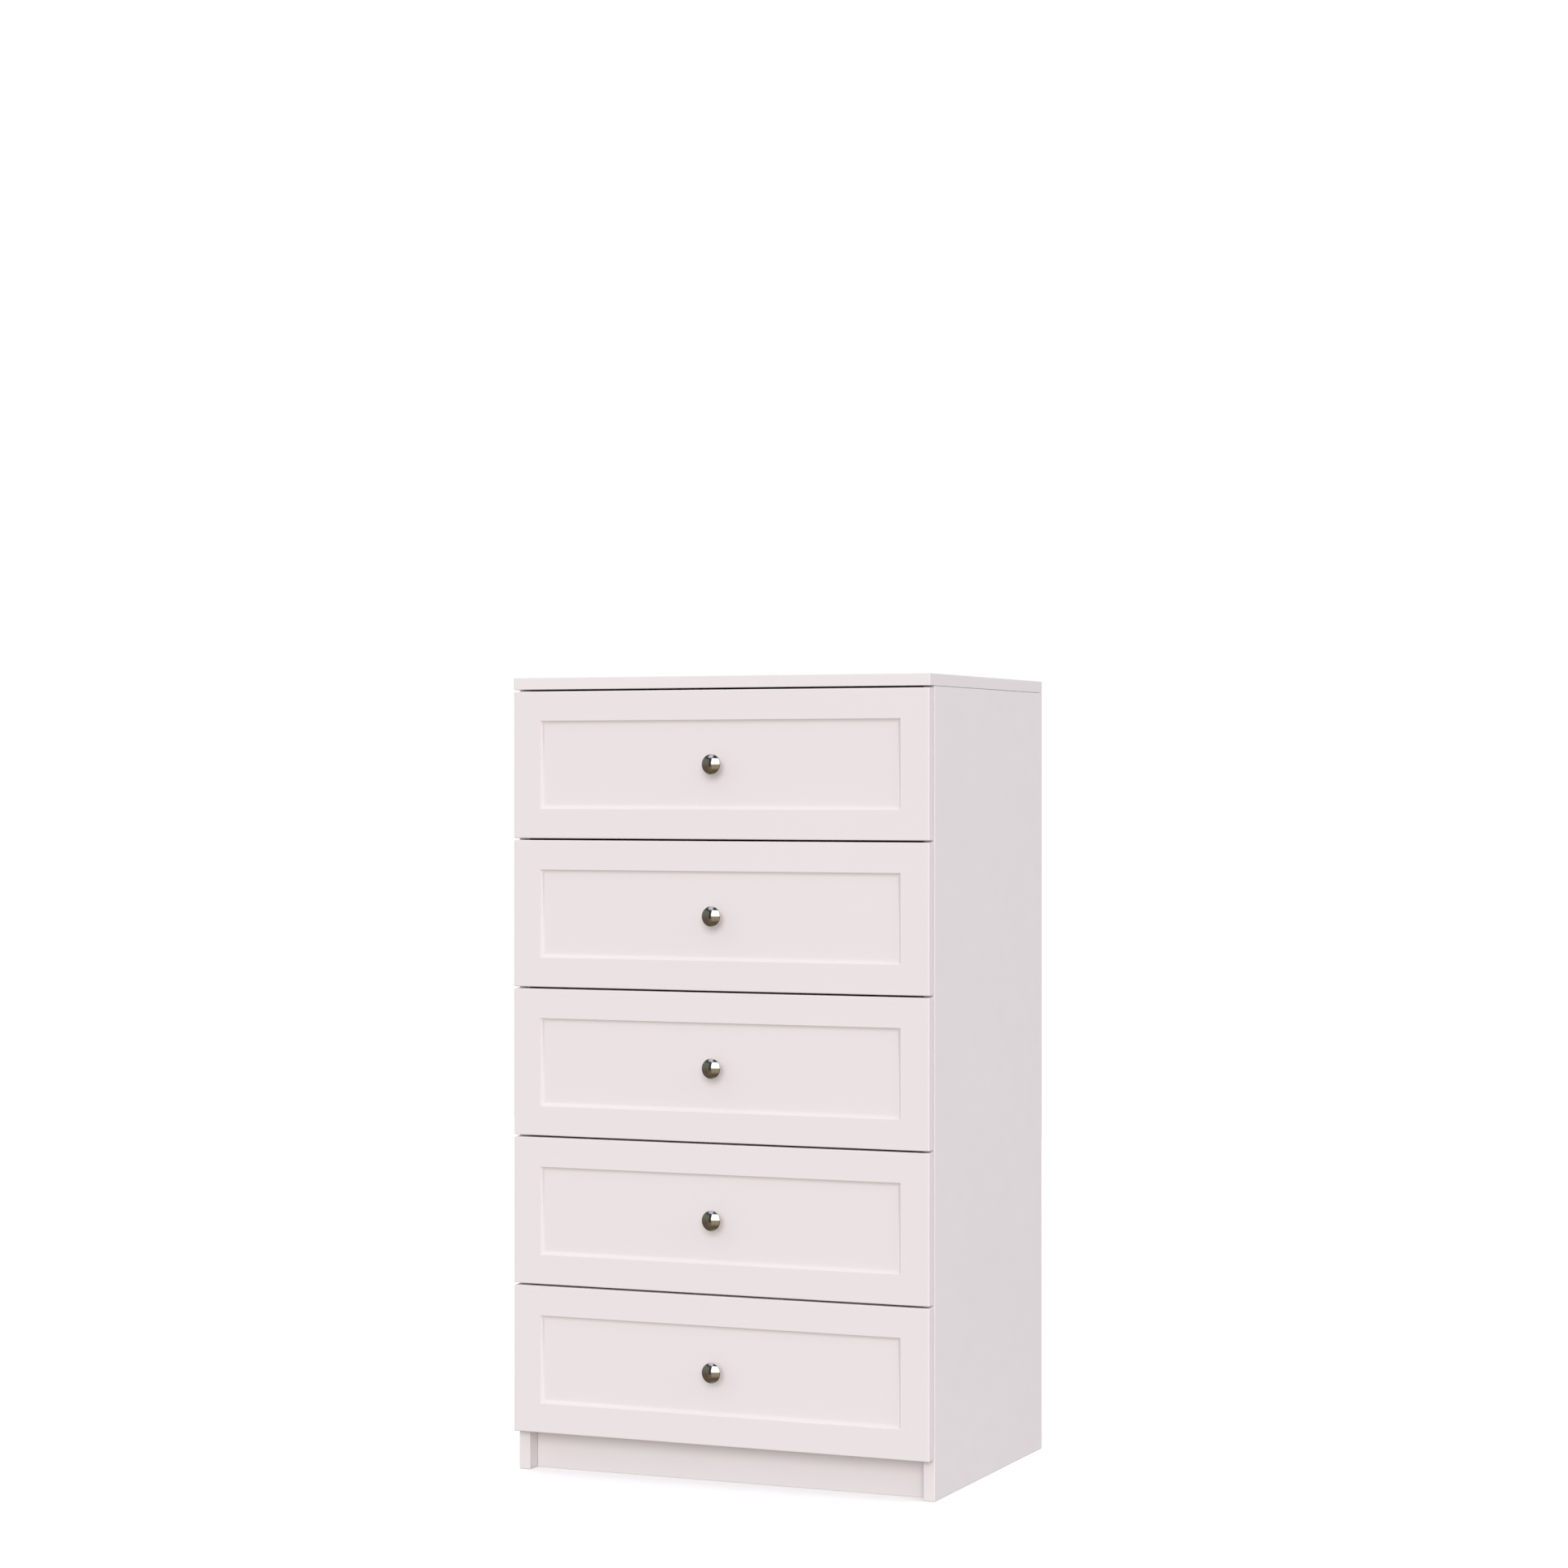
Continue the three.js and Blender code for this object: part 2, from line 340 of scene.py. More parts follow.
def hardboardFinish(name, light, dark):
    # bare brown hardboard with matted fibres
    material, tree, shader, where = startMaterial(name, light, 0.72)
    fibres = noiseAt(tree, where, 330.0, 6, 0.7)
    patches = noiseAt(tree, where, 6.0, 3)
    colour = mixColours(tree, rangeOf(tree, fibres, 0, 1, 0.32, 0.68), dark, light)
    colourFrom(tree, shader, rangeOf(tree, patches, 0.0, 0.2, 0.35, 0.7), colour, shaded(light, 1.1))
    linkUp(tree, (rangeOf(tree, fibres, 0.62, 0.8), shader.inputs["Roughness"]))
    bumpFrom(tree, shader, [(fibres, 0.25, 0.0002), (noiseAt(tree, where, 1500.0, 3), 0.2, 0.0001)])
    return material


def coatedSteelFinish(name, colour):
    # white epoxy powder coat on rolled steel
    material, tree, shader, where = startMaterial(name, colour, 0.34, Coat_Weight=0.25,
                                                  Coat_Roughness=0.2)
    tone = rangeOf(tree, noiseAt(tree, where, 30.0, 3), 0, 1)
    colourFrom(tree, shader, tone, shaded(colour, 0.95), colour)
    peel = noiseAt(tree, where, 900.0, 2)
    linkUp(tree, (rangeOf(tree, peel, 0.28, 0.42), shader.inputs["Roughness"]))
    bumpFrom(tree, shader, [(peel, 0.25, 0.0001)])
    return material


def platedFinish(name, colour, roughness, wear):
    # polished or bright plate with faint handling marks
    material, tree, shader, where = startMaterial(name, colour, roughness, Metallic=1.0)
    smudge = noiseAt(tree, where, 120.0, 3, 0.6)
    linkUp(tree, (rangeOf(tree, smudge, roughness, roughness + wear), shader.inputs["Roughness"]))
    tone = rangeOf(tree, noiseAt(tree, where, 300.0, 2), 0, 1)
    colourFrom(tree, shader, tone, shaded(colour, 0.94), colour)
    scratches = noiseAt(tree, where, 700.0, 2, 0.5, (1, 6, 1))
    bumpFrom(tree, shader, [(scratches, 0.03 + wear * 0.4, 0.00003)])
    return material


def nylonFinish(name, colour):
    material, tree, shader, where = startMaterial(name, colour, 0.42, Subsurface_Weight=0.25,
                                                  Subsurface_Scale=0.002)
    turned = noiseAt(tree, where, 400.0, 2)
    linkUp(tree, (rangeOf(tree, turned, 0.36, 0.5), shader.inputs["Roughness"]))
    tone = rangeOf(tree, noiseAt(tree, where, 90.0, 2), 0, 1)
    colourFrom(tree, shader, tone, shaded(colour, 0.93), colour)
    bumpFrom(tree, shader, [(turned, 0.15, 0.0001)])
    return material


finishes = {
    "carcassWhite": laminateFinish("carcassLaminate", (0.81, 0.752, 0.76), 0.42, 0.08),
    "edgeBand": foilFinish("edgeBand", (0.81, 0.752, 0.757), 0.36),
    "frontWhite": foilFinish("frontFoil", (0.80, 0.739, 0.739), 0.34),
    "boxWhite": laminateFinish("boxLaminate", (0.80, 0.77, 0.755), 0.48, 0.14),
    "printedWhite": laminateFinish("printedHardboard", (0.78, 0.75, 0.72), 0.55, 0.22),
    "bareHardboard": hardboardFinish("bareHardboard", (0.42, 0.26, 0.14), (0.26, 0.15, 0.075)),
    "chipboard": chipboardFinish("sawnChipboard", (0.62, 0.47, 0.30), (0.34, 0.22, 0.12)),
    "coatedSteel": coatedSteelFinish("coatedSteel", (0.80, 0.79, 0.76)),
    "nylon": nylonFinish("rollerNylon", (0.86, 0.84, 0.78)),
    "nickel": platedFinish("polishedNickel", (0.80, 0.77, 0.72), 0.05, 0.05),
    "zinc": platedFinish("zincPlate", (0.72, 0.71, 0.68), 0.26, 0.16),
}
print("finishes made")


# geometry node trees

def newTree(name, *sockets):
    tree = bpy.data.node_groups.new(name, "GeometryNodeTree")
    tree.interface.new_socket("Geometry", in_out="INPUT", socket_type="NodeSocketGeometry")
    for label, kind, value in sockets:
        socket = tree.interface.new_socket(label, in_out="INPUT", socket_type="NodeSocket" + kind)
        if value is not None:
            socket.default_value = value
    tree.interface.new_socket("Geometry", in_out="OUTPUT", socket_type="NodeSocketGeometry")
    return tree, nodeIn(tree, "NodeGroupInput"), nodeIn(tree, "NodeGroupOutput")


def endTree(tree, geometry, finish, out):
    real = nodeIn(tree, "GeometryNodeRealizeInstances")
    paint = nodeIn(tree, "GeometryNodeSetMaterial")
    linkUp(tree, (geometry, real.inputs["Geometry"]),
           (real.outputs["Geometry"], paint.inputs["Geometry"]),
           (finish, paint.inputs["Material"]),
           (paint.outputs["Geometry"], out.inputs["Geometry"]))


def fixingTree():
    # stands a copy of one small piece on every point, facing along the point's own direction
    tree, given, out = newTree("fixings", ("Piece", "Object", None), ("Size", "Float", 1.0),
                               ("Turn", "Float", math.tau), ("Seed", "Int", 3),
                               ("Finish", "Material", None))
    template = nodeIn(tree, "GeometryNodeObjectInfo")
    facing = nodeIn(tree, "GeometryNodeInputNamedAttribute", data_type="FLOAT_VECTOR")
    facing.inputs["Name"].default_value = "facing"
    aim = nodeIn(tree, "FunctionNodeAlignRotationToVector", axis="Z")
    copies = nodeIn(tree, "GeometryNodeInstanceOnPoints")
    turn = nodeIn(tree, "FunctionNodeRandomValue", data_type="FLOAT")
    angle = nodeIn(tree, "ShaderNodeCombineXYZ")
    twist = nodeIn(tree, "GeometryNodeRotateInstances")
    linkUp(tree, (given.outputs["Piece"], template.inputs["Object"]),
           (facing.outputs["Attribute"], aim.inputs["Vector"]),
           (given.outputs["Geometry"], copies.inputs["Points"]),
           (template.outputs["Geometry"], copies.inputs["Instance"]),
           (aim.outputs["Rotation"], copies.inputs["Rotation"]),
           (given.outputs["Size"], copies.inputs["Scale"]),
           (given.outputs["Turn"], turn.inputs[3]),
           (given.outputs["Seed"], turn.inputs["Seed"]),
           (turn.outputs[1], angle.inputs["Z"]),
           (copies.outputs["Instances"], twist.inputs["Instances"]),
           (angle.outputs["Vector"], twist.inputs["Rotation"]))
    endTree(tree, twist.outputs["Instances"], given.outputs["Finish"], out)
    return tree


def punchTree():
    # cuts a row of round or slotted holes through a rolled section, along Y
    tree, given, out = newTree("punchedSection", ("First hole", "Vector", (0, 0, 0)),
                               ("Spacing", "Float", 0.064), ("Count", "Int", 6),
                               ("Hole radius", "Float", 0.0025), ("Slot", "Float", 1.0),
                               ("Sheet", "Float", 0.004), ("Finish", "Material", None))
    step = nodeIn(tree, "ShaderNodeCombineXYZ")
    row = nodeIn(tree, "GeometryNodeMeshLine", mode="OFFSET")
    punch = nodeIn(tree, "GeometryNodeMeshCylinder")
    punch.inputs["Vertices"].default_value = 20
    shape = nodeIn(tree, "ShaderNodeCombineXYZ")
    shape.inputs["X"].default_value = 1
    shape.inputs["Z"].default_value = 1
    copies = nodeIn(tree, "GeometryNodeInstanceOnPoints")
    copies.inputs["Rotation"].default_value = (0, math.pi / 2, 0)
    loose = nodeIn(tree, "GeometryNodeRealizeInstances")
    cut = nodeIn(tree, "GeometryNodeMeshBoolean", operation="DIFFERENCE")
    linkUp(tree, (given.outputs["Spacing"], step.inputs["Y"]),
           (given.outputs["Count"], row.inputs["Count"]),
           (given.outputs["First hole"], row.inputs["Start Location"]),
           (step.outputs["Vector"], row.inputs["Offset"]),
           (given.outputs["Hole radius"], punch.inputs["Radius"]),
           (given.outputs["Sheet"], punch.inputs["Depth"]),
           (given.outputs["Slot"], shape.inputs["Y"]),
           (row.outputs["Mesh"], copies.inputs["Points"]),
           (punch.outputs["Mesh"], copies.inputs["Instance"]),
           (shape.outputs["Vector"], copies.inputs["Scale"]),
           (copies.outputs["Instances"], loose.inputs["Geometry"]),
           (given.outputs["Geometry"], cut.inputs["Mesh 1"]),
           (loose.outputs["Geometry"], cut.inputs["Mesh 2"]))
    endTree(tree, cut.outputs["Mesh"], given.outputs["Finish"], out)
    return tree


def runTree(mesh, tree, values):
    holder = bpy.data.objects.new("holder", mesh)
    modifier = holder.modifiers.new("tree", "NODES")
    modifier.node_group = tree
    for item in tree.interface.items_tree:
        if item.item_type == "SOCKET" and item.in_out == "INPUT" and item.name in values:
            modifier[item.identifier] = values[item.name]
    scene.collection.objects.link(holder)
    bpy.context.view_layer.update()
    made = bpy.data.meshes.new_from_object(holder.evaluated_get(bpy.context.evaluated_depsgraph_get()))
    bpy.data.objects.remove(holder)
    return made


fixings = fixingTree()
punchedSection = punchTree()


def standOn(template, spots, finish, seed=3):
    # spots are (place, direction) pairs; each copy is turned by its own amount
    points = bpy.data.meshes.new("spots")
    points.from_pydata([tuple(place) for place, _ in spots], [], [])
    facing = points.attributes.new("facing", "FLOAT_VECTOR", "POINT")
    for entry, (_, direction) in zip(facing.data, spots):
        entry.vector = direction
    return runTree(points, fixings, {"Piece": template, "Size": 1.0, "Turn": math.tau, "Seed": seed,
                                     "Finish": finish})


print("node trees made")


# sizes read from the frame

topLow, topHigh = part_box("top_panel")
frontLow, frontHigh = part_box("drawer_1_front")
sideLow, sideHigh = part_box("right_side_panel")
backLow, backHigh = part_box("back_panel")
bottomLow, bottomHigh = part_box("bottom_panel")
plinthLow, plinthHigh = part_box("plinth")
knobLow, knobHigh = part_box("drawer_1_knob")
boxSideLow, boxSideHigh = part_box("drawer_1_right_side")
boxBackLow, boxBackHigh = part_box("drawer_1_back")
sheetLow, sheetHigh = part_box("drawer_1_bottom")
channelLow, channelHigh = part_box("carcass_runner_1_right")
railLow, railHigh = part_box("drawer_1_right_runner")
drawerZ = [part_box(f"drawer_{n}_front")[0].z for n in range(1, drawerCount + 1)]
fromTop = [Vector((0, 0, z - drawerZ[0])) for z in drawerZ]  # from the top drawer down to each one
wallX = sideLow.x
grooveSlack = 0.3 * mm
cutPast = 5 * mm  # how far a groove's cutter runs past the face that it opens
knobZ = (knobLow.z + knobHigh.z) / 2


# templates of the small pieces

def roundCorner(before, corner, after, radius, steps=4):
    # arc of the given radius that replaces a corner of an outline
    b, c, a = (Vector(p) for p in (before, corner, after))
    toBefore, toAfter = (b - c).normalized(), (a - c).normalized()
    half = toBefore.angle(toAfter) / 2
    centre = c + (toBefore + toAfter).normalized() * (radius / math.sin(half))
    start = c + toBefore * (radius / math.tan(half)) - centre
    sweep = start.angle_signed(c + toAfter * (radius / math.tan(half)) - centre)
    return [tuple(centre + Matrix.Rotation(-sweep * i / steps, 2) @ start) for i in range(steps + 1)]


def roundOutline(points, radii, steps=4):
    # open outline, with a radius for each inner point (0 leaves it sharp)
    made = [points[0]]
    for before, corner, after, radius in zip(points, points[1:], points[2:], radii):
        made += roundCorner(before, corner, after, radius, steps) if radius else [corner]
    return made + [points[-1]]


def roundLoop(points, radii, steps=3):
    # closed outline, with a radius for every point
    count = len(points)
    made = []
    for i, radius in enumerate(radii):
        made += roundCorner(points[i - 1], points[i], points[(i + 1) % count], radius, steps)
    return made


def hiddenTemplate(name, mesh):
    template = bpy.data.objects.new(name, mesh)
    for polygon in mesh.polygons:
        polygon.use_smooth = True
    mesh.set_sharp_from_angle(angle=math.radians(35))
    return template


def crossCutters(width, reach, depth, top):
    arms = ((width / 2, reach), (reach, width / 2))
    return [boxMesh((-a, -b, top - depth), (a, b, top + depth)) for a, b in arms]


panScrew = {"headRadius": 3.4 * mm, "headHeight": 2.0 * mm, "crossWidth": 0.9 * mm,
            "crossReach": 1.75 * mm, "crossDepth": 1.1 * mm}
flatScrew = {"headRadius": 3.3 * mm, "headHeight": 0.7 * mm, "crossWidth": 0.9 * mm,
             "crossReach": 1.75 * mm, "crossDepth": 0.5 * mm}


def screwHead(shape):
    r, h = shape["headRadius"], shape["headHeight"]
    profile = roundOutline([(0, 0), (r, 0), (r, h * 0.45), (r * 0.62, h * 0.95), (0, h)],
                           [0.05 * mm, 0.1 * h, 0.4 * h], 3)
    head = latheMesh(profile, 24)
    return carve(head, crossCutters(shape["crossWidth"], shape["crossReach"], shape["crossDepth"], h))


camShape = {"radius": 7.4 * mm, "thickness": 1.6 * mm, "rim": 0.7 * mm, "crossWidth": 1.5 * mm,
            "crossReach": 3.6 * mm, "crossDepth": 1.1 * mm, "pocketDepth": 1.8 * mm,
            "faceDrop": 0.35 * mm, "slack": 0.15 * mm}


def camDisc(shape):
    # the face of a cam lock: a raised rim, a cross slot and an arrow
    r, h = shape["radius"], shape["thickness"]
    inner, top = r - shape["rim"], h - shape["faceDrop"]
    profile = roundOutline([(0, 0), (r, 0), (r, h), (inner, h), (inner - 0.3 * mm, top), (0, top)],
                           [0.1 * mm, 0.2 * mm, 0.15 * mm, 0.1 * mm], 2)
    disc = latheMesh(profile, 32)
    arrow = [(-1.1 * mm, 4.6 * mm), (1.1 * mm, 4.6 * mm), (0, 6.0 * mm)]
    cutters = crossCutters(shape["crossWidth"], shape["crossReach"], shape["crossDepth"], top)
    return carve(disc, cutters + [prismMesh(arrow, "z", top - 0.5 * mm, top + mm)])


rollerShape = {"radius": 8.5 * mm, "width": 5.8 * mm, "bore": 2.35 * mm, "well": 3.4 * mm,
               "wellDepth": 0.95 * mm, "hub": 4.9 * mm, "dish": 0.6 * mm, "rim": 7.0 * mm}


def rollerWheel(shape):
    # nylon wheel with a crowned tread, dished faces and a bore; its middle is at z = 0
    r, bore, well, hub, rim = (shape[k] for k in ("radius", "bore", "well", "hub", "rim"))
    z = shape["width"] / 2
    sunk, dished = z - shape["wellDepth"], z - shape["dish"]
    face = [(bore, sunk), (well, sunk), (well + 0.2 * mm, z), (hub, z), (hub + 0.3 * mm, dished),
            (rim - 0.3 * mm, dished), (rim, z), (r, z)]
    points = [(a, -b) for a, b in face] + face[::-1]
    small, tread = 0.1 * mm, 0.9 * mm
    radii = [small] * 7 + [tread, tread] + [small] * 7
    return latheMesh(roundLoop(points, radii), 48)


axleShape = {"headRadius": 3.0 * mm, "pinRadius": 2.2 * mm, "collarRadius": 3.2 * mm,
             "channelCollar": 1.0 * mm, "railCollar": 2.7 * mm}


def axle(shape, collar):
    # axle through a roller whose middle is at z = 0: a peened head, a pin and a collar behind it
    half = rollerShape["width"] / 2
    r, pin, wide = shape["headRadius"], shape["pinRadius"], shape["collarRadius"]
    seat = half - rollerShape["wellDepth"]
    points = [(0, -half - collar), (wide, -half - collar), (wide, -half - 0.05 * mm),
              (pin, -half - 0.05 * mm), (pin, seat), (r, seat), (r * 0.8, half - 0.15 * mm), (0, half)]
    return latheMesh(roundOutline(points, [0, 0, 0, 0, 0.15 * mm, 0.4 * mm], 3), 24)


templates = {
    "panScrew": hiddenTemplate("panScrewTemplate", screwHead(panScrew)),
    "flatScrew": hiddenTemplate("flatScrewTemplate", screwHead(flatScrew)),
    "cam": hiddenTemplate("camTemplate", camDisc(camShape)),
    "roller": hiddenTemplate("rollerTemplate", rollerWheel(rollerShape)),
    "channelAxle": hiddenTemplate("channelAxleTemplate",
                                  axle(axleShape, axleShape["channelCollar"])),
    "railAxle": hiddenTemplate("railAxleTemplate", axle(axleShape, axleShape["railCollar"])),
}
print("small pieces made")


# carcass boards

boardLook = {"edgeRound": 0.9 * mm, "innerRound": 0.6 * mm, "sheetRound": 0.3 * mm,
             "camInset": 34 * mm, "sideCamEnd": 70 * mm, "bottomCamFront": 90 * mm,
             "bottomCamRear": 60 * mm}
# wide faces, banded edges, sawn edges
whiteBoard = [finishes["carcassWhite"], finishes["edgeBand"], finishes["chipboard"]]


def camPocket(place, axis):
    # drilled pocket for a cam lock; axis points out of the board
    turn = Vector(axis).to_track_quat("Z", "Y").to_matrix().to_4x4()
    depth = camShape["pocketDepth"]
    r = camShape["radius"] + camShape["slack"]
    pocket = latheMesh([(0, -depth), (r, -depth), (r, depth), (0, depth)], 32)
    return placed(pocket, Matrix.Translation(place) @ turn)


def camSpot(place, axis):
    # the cam's face lies just under the board's surface
    direction = Vector(axis)
    return Vector(place) - direction * camShape["pocketDepth"], direction


def sidePanel(side):
    back = (backLow.y - grooveSlack, backHigh.y + grooveSlack)
    deep = backHigh.x + grooveSlack
    outline = [(sideHigh.x, sideLow.y), (sideHigh.x, sideHigh.y), (wallX, sideHigh.y), (wallX, back[1]),
               (deep, back[1]), (deep, back[0]), (wallX, back[0]), (wallX, sideLow.y)]
    mesh = prismMesh([(side * x, y) for x, y in outline], "z", sideLow.z, sideHigh.z)
    mesh = carve(mesh, [camPocket(place, axis) for place, axis in sideCams(side)])

    def choose(normal, centre):
        if normal.z < -0.5:
            return 2
        return 0 if abs(normal.x) > 0.5 else 1

    paintFaces(mesh, whiteBoard, choose)
    return mesh


def sideCams(side):
    z = sideHigh.z - boardLook["camInset"]
    ys = (sideLow.y + boardLook["sideCamEnd"], sideHigh.y - boardLook["sideCamEnd"])
    return [((side * wallX, y, z), (-side, 0, 0)) for y in ys]


def bottomCams():
    x = bottomHigh.x - boardLook["camInset"]
    ys = (bottomLow.y + boardLook["bottomCamFront"], bottomHigh.y - boardLook["bottomCamRear"])
    return [((side * x, y, bottomLow.z), (0, 0, -1)) for _, side in hands for y in ys]


def plinthCams():
    x = plinthHigh.x - boardLook["camInset"]
    z = (plinthLow.z + plinthHigh.z) / 2
    return [((side * x, plinthHigh.y, z), (0, 1, 0)) for _, side in hands]


def topPanel():
    groove = boxMesh((-backHigh.x - grooveSlack, backLow.y - grooveSlack, topLow.z - cutPast),
                     (backHigh.x + grooveSlack, backHigh.y + grooveSlack, backHigh.z + grooveSlack))
    mesh = carve(boxMesh(topLow, topHigh), [groove])
    paintFaces(mesh, whiteBoard, lambda normal, centre: 0 if abs(normal.z) > 0.5 else 1)
    return mesh


def flatBoard(low, high, faceAxis, cams):
    mesh = carve(boxMesh(low, high), [camPocket(place, axis) for place, axis in cams])
    paintFaces(mesh, whiteBoard, lambda normal, centre: 0 if abs(normal[faceAxis]) > 0.5 else 1)
    return mesh


def backPanel():
    mesh = boxMesh(backLow, backHigh)
    paintFaces(mesh, [finishes["bareHardboard"], finishes["printedWhite"]],
               lambda normal, centre: 1 if normal.y < -0.5 else 0)
    return mesh


edgeRound = boardLook["edgeRound"]
for hand, side in hands:
    piece(f"sidePanel_{hand}", sidePanel(side), "carcass",
          [f"{hand}_side_panel"], edgeRound, 3, 1)
piece("topPanel", topPanel(), "carcass", ["top_panel"], edgeRound, 3)
piece("bottomPanel", flatBoard(bottomLow, bottomHigh, 2, bottomCams()), "carcass",
      ["bottom_panel"], boardLook["innerRound"], 2)
piece("plinthBoard", flatBoard(plinthLow, plinthHigh, 1, plinthCams()), "carcass",
      ["plinth"], boardLook["innerRound"], 2)
piece("backSheet", backPanel(), "carcass", ["back_panel"],
      boardLook["sheetRound"], 1)
carcassCams = sideCams(-1) + sideCams(1) + bottomCams() + plinthCams()
piece("carcassCams", standOn(templates["cam"], [camSpot(*c) for c in carcassCams], finishes["zinc"]),
      "carcass")
print("carcass made")


# drawer fronts

frontShape = {"arris": 1.5 * mm, "rearArris": 0.8 * mm, "cornerRound": 1.2 * mm, "frame": 39.5 * mm,
              "coveWidth": 6.0 * mm, "fieldDepth": 3.8 * mm, "coveArc": 52, "coveArris": 0.6 * mm,
              "coveSteps": 8, "cornerSteps": 4, "screwHole": 2.3 * mm, "drillReach": 20 * mm}


def frontSection(shape):
    # [distance in from the edge, y] from the rear face round to the sunk field, through a hollow cove
    frame, count = shape["frame"], shape["coveSteps"]
    slope = math.radians(shape["coveArc"])
    across = shape["coveWidth"] / math.sin(slope)
    deep = shape["fieldDepth"] / (1 - math.cos(slope))
    points = [(shape["rearArris"] + mm, frontHigh.y), (0, frontHigh.y), (0, faceY), (frame, faceY)]
    for i in range(1, count + 1):
        a = slope * (1 - i / count)
        points.append((frame + across * (math.sin(slope) - math.sin(a)),
                       faceY + deep * (math.cos(a) - math.cos(slope))))
    points.append((frame + shape["coveWidth"] + 3 * mm, faceY + shape["fieldDepth"]))
    radii = [shape["rearArris"], shape["arris"], shape["coveArris"]] + [0] * count
    return roundOutline(points, radii, 6)


def frontMesh(shape):
    halfWidth = (frontHigh.x - frontLow.x) / 2
    halfHeight = (frontHigh.z - frontLow.z) / 2
    middle = (frontHigh.z + frontLow.z) / 2
    cornerSteps = shape["cornerSteps"]
    bm = bmesh.new()
    rings = []
    for inset, y in frontSection(shape):
        radius = max(0.0, shape["cornerRound"] - inset)
        ring = []
        for quarter in range(4):
            for i in range(cornerSteps + 1):
                angle = math.radians(90 * (quarter + i / cornerSteps))
                signX = 1 if quarter in (0, 3) else -1
                signZ = 1 if quarter in (0, 1) else -1
                x = signX * (halfWidth - inset - radius) + radius * math.cos(angle)
                z = signZ * (halfHeight - inset - radius) + radius * math.sin(angle)
                ring.append(bm.verts.new((x, y, middle + z)))
        rings.append(ring)
    for low, high in zip(rings, rings[1:]):
        for i in range(len(low)):
            j = (i + 1) % len(low)
            bm.faces.new((low[i], low[j], high[j], high[i]))
    bm.faces.new(rings[0])
    bm.faces.new(rings[-1])
    closeMesh(bm)
    body = toMesh(bm, "front")
    groove = boxMesh((sheetLow.x - grooveSlack, sheetLow.y - grooveSlack, sheetLow.z - grooveSlack),
                     (sheetHigh.x + grooveSlack, frontHigh.y + cutPast, sheetHigh.z + grooveSlack))
    r, reach = shape["screwHole"], shape["drillReach"]
    hole = latheMesh([(0, -reach), (r, -reach), (r, reach), (0, reach)], 24)
    body = carve(body, [groove, placed(hole, facingFront((faceY + frontHigh.y) / 2, middle))])
    paintFaces(body, [finishes["frontWhite"], finishes["boxWhite"]],
               lambda normal, centre: 1 if normal.y > 0.9 and centre.y > frontHigh.y - 0.1 * mm else 0)
    body.set_sharp_from_angle(angle=math.radians(40))
    return body


topFront = frontMesh(frontShape)
for number, drop in enumerate(fromTop, 1):
    piece(f"front_{number}", placed(topFront, Matrix.Translation(drop)), f"drawer_{number}",
          [f"drawer_{number}_front"])
print("fronts made")


# knobs

knobShape = {"headRadius": 13.5 * mm, "headDepth": 5.0 * mm, "capSlope": 35, "rimRound": 1.05 * mm,
             "neckRadius": 4.6 * mm, "footRadius": 5.0 * mm, "footHeight": 1.6 * mm,
             "footFlare": 1.2 * mm, "neckTop": 0.46, "bellyWidth": 0.84, "bellyDrop": 4.4 * mm,
             "skirt": 1.5 * mm, "rimSteps": 8, "capSteps": 20, "sides": 96}


def knobSection(shape):
    # [radius, distance out] from the foot on the sunk field to the middle of the cap
    out = knobHigh.y - knobLow.y
    widest = out - shape["headDepth"]
    wide, neck, foot = shape["headRadius"], shape["neckRadius"], shape["footRadius"]
    footTop = shape["footHeight"]
    under = roundOutline([(0, 0), (foot, 0), (foot, footTop), (neck, footTop + shape["footFlare"]),
                          (neck, widest * shape["neckTop"]),
                          (wide * shape["bellyWidth"], widest - shape["bellyDrop"]),
                          (wide, widest - shape["skirt"]), (wide, widest)],
                         [0.25 * mm, 0.35 * mm, 1.0 * mm, 3.0 * mm, 2.6 * mm, 1.2 * mm], 8)
    slope, rim = math.radians(shape["capSlope"]), shape["rimRound"]
    rimSteps, capSteps = shape["rimSteps"], shape["capSteps"]
    rolledRim = [(wide - rim + rim * math.cos(a), widest + rim * math.sin(a))
                 for a in ((math.pi / 2 - slope) * i / rimSteps for i in range(1, rimSteps + 1))]
    edge, start = rolledRim[-1]
    ball = edge / math.sin(slope)
    tall = out - start
    full = ball * (1 - math.cos(slope))
    cap = [(ball * math.sin(a), start + (ball * math.cos(a) - ball * math.cos(slope)) * tall / full)
           for a in (slope * (1 - i / capSteps) for i in range(1, capSteps))]
    return under + rolledRim + cap + [(0, out)]


def knobMesh(shape):
    return placed(latheMesh(knobSection(shape), shape["sides"]), facingFront(knobHigh.y, knobZ))


topKnob = knobMesh(knobShape)
topKnob.materials.append(finishes["nickel"])
topKnob.set_sharp_from_angle(angle=math.radians(50))
for number, drop in enumerate(fromTop, 1):
    piece(f"knob_{number}", placed(topKnob, Matrix.Translation(drop)), f"drawer_{number}",
          [f"drawer_{number}_knob"])
print("knobs made")


# drawer boxes

boxLook = {"edgeRound": 0.7 * mm, "camHeights": (34 * mm, 116 * mm),
           "rearScrews": (36 * mm, 118 * mm), "bottomScrewInset": 40 * mm}
boxFaces = [finishes["boxWhite"], finishes["edgeBand"], finishes["chipboard"]]


def boxCams(side):
    y = boxSideLow.y + boardLook["camInset"]
    return [((side * boxSideLow.x, y, boxSideLow.z + up), (-side, 0, 0)) for up in boxLook["camHeights"]]


